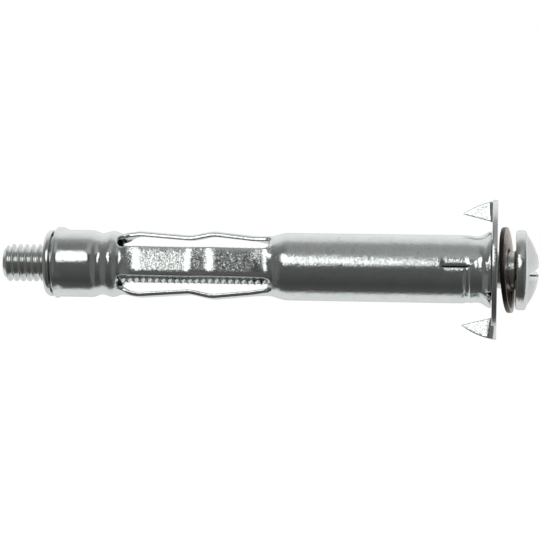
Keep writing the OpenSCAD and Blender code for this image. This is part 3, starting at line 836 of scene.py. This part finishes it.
def make_washer():
    outline = rounded([
        (-WASHER_HALF, WASHER_BORE_R), (-WASHER_HALF, WASHER_R), (WASHER_HALF, WASHER_R),
        (WASHER_HALF, WASHER_BORE_R)], [0.06, 0.17, 0.08, 0.12])
    verts, faces = turned(outline, 144)
    place = (Matrix.Translation((WASHER_X, 0, 0)) @ Matrix.Rotation(WASHER_YAW, 4, "Z")
             @ Matrix.Rotation(WASHER_NOD, 4, "Y"))
    verts = np.array([tuple(place @ Vector(v)) for v in verts])
    washer = new_object("washer_ring", verts * MM, faces, WASHER_STEEL, sharp=SHARP)
    back = place.inverted()
    # the outer edge, bar its corner towards the head, is marked for the painted shade
    mark = washer.data.attributes.new("edge", "FLOAT", "POINT")
    for v in washer.data.vertices:
        at = back @ (v.co / MM)
        outer = float(ramp(math.hypot(at.y, at.z), *DARK_FROM_R))
        mark.data[v.index].value = outer * float(falling(at.x, *DARK_TO_X))
    return washer


sleeve = make_sleeve()
plate = make_plate()
nut = make_nut()
screw = make_screw()
carve_recess(screw)
washer = make_washer()
for piece, body, node, slot in (
        (sleeve, "anchor", "sleeve", "sleeve_zinc"), (plate, "anchor", "flange_plate", "plate_zinc"),
        (nut, "anchor", "nut", "nut_zinc"), (screw, "screw", "screw", "screw_zinc"),
        (washer, "washer", "washer", "washer_steel")):
    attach(piece, body)
    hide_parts(node)


# Studio: a pale floor under the object, and a light tent with a dark side towards the camera

# The floor, in metres, and the glow that the camera sees on it, from under the object outwards
FLOOR_Z = -0.034
FLOOR_HALF = 4.0
FLOOR_PALE = 0.9
FLOOR_ROUGH = 0.9
GLOW_REACH = (0.0, 0.5)
GLOW_LEVELS = (0.285, 0.515)


def make_floor():
    look = bpy.data.materials.new("floor_look")
    look.use_nodes = True
    tree = look.node_tree
    matt = feed(tree, tree.nodes["Principled BSDF"], {
        "Base Color": opaque([FLOOR_PALE] * 3), "Roughness": FLOOR_ROUGH, "Specular IOR Level": 0.0})
    place = added(tree, "NewGeometry").outputs["Position"]
    away = added(tree, "VectorMath", {0: place}, operation="LENGTH").outputs["Value"]
    level = mapped(tree, away, GLOW_REACH, GLOW_LEVELS)
    seen = added(tree, "LightPath").outputs["Is Camera Ray"]
    strength = added(tree, "Math", {0: seen, 1: level}, operation="MULTIPLY").outputs[0]
    glow = added(tree, "Emission", {"Color": WHITE, "Strength": strength})
    both = added(tree, "AddShader", {0: matt.outputs[0], 1: glow.outputs[0]})
    feed(tree, tree.nodes["Material Output"], {"Surface": both.outputs[0]})
    mesh = bpy.data.meshes.new("floor")
    sides = ((-1, -1), (1, -1), (1, 1), (-1, 1))
    mesh.from_pydata([(FLOOR_HALF * x, FLOOR_HALF * y, FLOOR_Z) for x, y in sides], [], [(0, 1, 2, 3)])
    floor = bpy.data.objects.new("floor", mesh)
    scene.collection.objects.link(floor)
    mesh.materials.append(look)
    floor.visible_glossy = False


# Brightness of the tent by the angle about X, in degrees from the camera's side over the top, and at 180 the
# same as at -180: straight behind the camera, where it is dark, to the right of that, and at both sides
BELOW = [
    (-180, 0.85), (-166, 0.68), (-154, 0.66), (-146, 0.75), (-104, 0.74), (-92, 0.09), (-62, 0.058),
    (-42, 0.07), (-25, 0.085), (-8, 0.095), (3, 0.11)]
ABOVE = [(92, 0.42), (100, 0.66), (112, 0.76), (128, 0.84), (148, 0.9), (156, 0.78), (166, 0.76)]
MIDDLE = BELOW + [(12, 0.08), (38, 0.08), (50, 0.17), (68, 0.19), (82, 0.28)] + ABOVE
RIGHT = BELOW + [(14, 0.06), (28, 0.06), (40, 0.36), (52, 0.34), (66, 0.31), (82, 0.32)] + ABOVE
SIDES = [
    (-180, 0.8), (-166, 0.66), (-154, 0.64), (-146, 0.74), (-102, 0.72), (-88, 0.14), (50, 0.14), (70, 0.2),
    (92, 0.27), (106, 0.66), (146, 0.76), (154, 0.68), (166, 0.66)]
# Where along X, as a share of the direction, the dark part begins and ends and turns into its right part
DARK_LEFT = (-0.62, -0.5)
DARK_RIGHT = (0.3, 0.42)
GREY_RIGHT = (-0.18, -0.07)
# The bright panel: its middle and half sizes in X and in degrees, how far it climbs to the left, and its edge
PANEL_X, PANEL_HALF = -0.243, 0.249
PANEL_UP, PANEL_TALL, PANEL_CLIMB = 19.2, 18.5, 29
PANEL_ROUND = 1.6
PANEL_EDGE = (0.9, 1.08)
LEFT_END = (0.17, 0.155, 0.14)
LEFT_END_X = (-0.93, -0.8)
TENT_TOP = 1.5
SOFT_LIGHT = 0.55


def make_world():
    world = bpy.data.worlds.new("tent")
    scene.world = world
    world.use_nodes = True
    tree = world.node_tree
    tree.nodes.clear()

    def worked(op, *values):
        return added(tree, "Math", dict(enumerate(values)), operation=op).outputs[0]

    def step(value, levels):
        return mapped(tree, value, levels, (0.0, 1.0), way="SMOOTHSTEP")

    def bands(stops, share):
        shader = added(tree, "ValToRGB", {"Fac": share})
        elements = shader.color_ramp.elements
        levels = [opaque([level / TENT_TOP] * 3) for _, level in stops]
        for end in (elements[0], elements[1]):
            end.color = levels[0]
        for (degrees, _), level in zip(stops[1:], levels[1:]):
            elements.new((degrees + 180) / 360).color = level
        return shader.outputs["Color"]

    towards = added(tree, "SeparateXYZ", {0: added(tree, "TexCoord").outputs["Generated"]}).outputs
    x = towards["X"]
    angle = worked("ARCTAN2", towards["Z"], worked("MULTIPLY", towards["Y"], -1.0))
    share = worked("MULTIPLY_ADD", angle, 1 / (2 * math.pi), 0.5)
    dark = worked("MULTIPLY", step(x, DARK_LEFT), worked("SUBTRACT", 1.0, step(x, DARK_RIGHT)))
    middle = mixed(tree, step(x, GREY_RIGHT), bands(MIDDLE, share), bands(RIGHT, share))
    colour = mixed(tree, dark, bands(SIDES, share), middle)
    # the panel, a rounded shape, and the left end
    panel_mid = worked("MULTIPLY_ADD", x, -PANEL_CLIMB, PANEL_UP)
    up = worked("SUBTRACT", worked("MULTIPLY", angle, 180 / math.pi), panel_mid)
    up = worked("MULTIPLY", up, 1 / PANEL_TALL)
    along = worked("MULTIPLY", worked("SUBTRACT", x, PANEL_X), 1 / PANEL_HALF)
    reach = [worked("POWER", worked("ABSOLUTE", part), PANEL_ROUND) for part in (up, along)]
    off = worked("POWER", worked("ADD", *reach), 1 / PANEL_ROUND)
    colour = mixed(tree, step(off, PANEL_EDGE), WHITE, colour)
    colour = mixed(tree, step(x, LEFT_END_X), opaque([level / TENT_TOP for level in LEFT_END]), colour)
    # shiny surfaces see the tent, the camera sees white, and the rest gets a soft light
    rays = added(tree, "LightPath").outputs
    tent = added(tree, "Background", {"Color": colour, "Strength": TENT_TOP}).outputs[0]
    soft = added(tree, "Background", {"Color": opaque([SOFT_LIGHT] * 3)}).outputs[0]
    white = added(tree, "Background", {"Color": WHITE}).outputs[0]
    lit = added(tree, "MixShader", {"Fac": rays["Is Glossy Ray"], 1: soft, 2: tent}).outputs[0]
    seen = added(tree, "MixShader", {"Fac": rays["Is Camera Ray"], 1: lit, 2: white}).outputs[0]
    added(tree, "OutputWorld", {"Surface": seen})


# The lamp overhead, in metres and watts
LAMP_SIZE = (0.5, 0.35)
LAMP_PLACE = (0.05, -0.15, 0.5)
LAMP_TILT = math.radians(-18)
LAMP_POWER = 1.2


def make_lamp():
    light = bpy.data.lights.new("key", "AREA")
    light.shape = "RECTANGLE"
    light.size, light.size_y = LAMP_SIZE
    light.energy = LAMP_POWER
    lamp = bpy.data.objects.new("key", light)
    lamp.location = LAMP_PLACE
    lamp.rotation_euler = (LAMP_TILT, 0, 0)
    lamp.visible_glossy = False
    scene.collection.objects.link(lamp)


# The camera stands opposite the plate, 215 mm from the middle of the anchor, and is turned to that middle
DISTANCE = 0.215
AZIMUTH = math.radians(6.25)
FOCAL_PX = 2074
PICTURE_PX = 540
SENSOR = 36
CENTRE_X = -22.88
CENTRE_Z = -0.374
ROLL = math.radians(0.89)


def make_camera():
    lens = bpy.data.cameras.new("camera")
    lens.sensor_width = SENSOR
    lens.lens = SENSOR * FOCAL_PX / PICTURE_PX
    lens.clip_start, lens.clip_end = 0.02, 20
    camera = bpy.data.objects.new("camera", lens)
    camera.rotation_mode = "QUATERNION"
    back = Vector((math.sin(AZIMUTH), -math.cos(AZIMUTH), 0))
    camera.location = Vector((CENTRE_X, 0, CENTRE_Z)) * MM + back * DISTANCE
    look = (-back).to_track_quat("-Z", "Y").to_matrix().to_4x4()
    camera.rotation_quaternion = (look @ Matrix.Rotation(ROLL, 4, "Z")).to_quaternion()
    scene.collection.objects.link(camera)
    scene.camera = camera


make_floor()
make_world()
make_lamp()
make_camera()
scene.view_settings.view_transform = "Standard"
